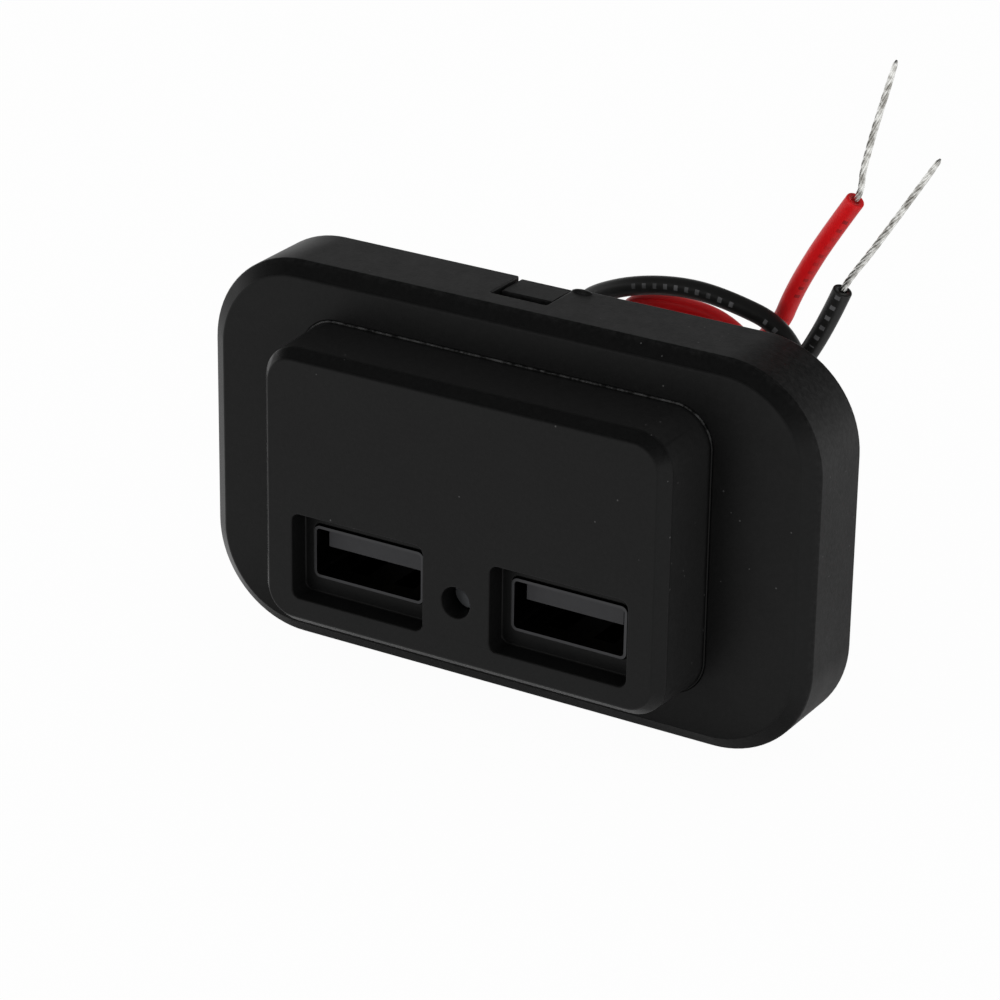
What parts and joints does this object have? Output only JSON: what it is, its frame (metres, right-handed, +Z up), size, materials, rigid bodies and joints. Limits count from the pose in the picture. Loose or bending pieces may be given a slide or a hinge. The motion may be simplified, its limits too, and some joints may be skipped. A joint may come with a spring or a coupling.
{
  "type": "dual usb charging socket",
  "caption": "Surface-mounted dual USB socket for a vehicle: rounded clip-on surround, raised boss with side-by-side ports and light hole, rear cover and free supply leads.",
  "frame": {"origin": "middle of the two fixing holes, on the plane of the panel that the socket is screwed to", "axes": "+X along the face from one fixing hole to the other, +Z up, the face looks along -Y and the leads leave along +Y"},
  "size_m": [0.0726, 0.0399, 0.0659],
  "materials": {
    "black_plastic": "fine matte grain",
    "socket_steel": "bright plated",
    "insulator_plastic": "smooth matte",
    "contact_metal": "polished plating",
    "clear_plastic": "smoky clear",
    "lamp_plastic": "clear tinted",
    "screw_steel": "dark zinc plate",
    "board_laminate": "green solder mask",
    "can_aluminium": "satin",
    "ferrite": "dull grey ferrite",
    "chip_resin": "moulded resin",
    "fuse_body": "glossy dark green",
    "ceramic_body": "fired tan ceramic",
    "resistor_film": "glazed black",
    "solder_tin": "bright solder",
    "bush_rubber": "matte",
    "black_insulation": "satin sleeve",
    "red_insulation": "satin sleeve",
    "tinned_copper": "tinned strands"
  },
  "bodies": {
    "root": {"bezel_frame": "black_plastic", "socket_housing": "black_plastic", "rear_cover": "black_plastic", "cover_screws": "screw_steel", "circuit_board": "board_laminate", "usb_shell_left": "socket_steel", "usb_tongue_left": "insulator_plastic", "usb_contacts_left": "contact_metal", "usb_shell_right": "socket_steel", "usb_tongue_right": "insulator_plastic", "usb_contacts_right": "contact_metal", "light_guide": "clear_plastic", "status_led": "lamp_plastic", "input_capacitor": "can_aluminium", "output_capacitor": "can_aluminium", "power_inductor": "ferrite", "regulator_chip": "chip_resin", "port_controller_chip": "chip_resin", "rectifier_diode": "chip_resin", "input_fuse": "fuse_body", "ceramic_capacitors": "ceramic_body", "chip_resistors": "resistor_film", "lead_bush": "bush_rubber", "lead_tails": "black_insulation", "lead_solder": "solder_tin", "black_lead": "black_insulation", "black_lead_strands": "tinned_copper", "red_lead": "red_insulation", "red_lead_strands": "tinned_copper"}
  },
  "joints": []
}
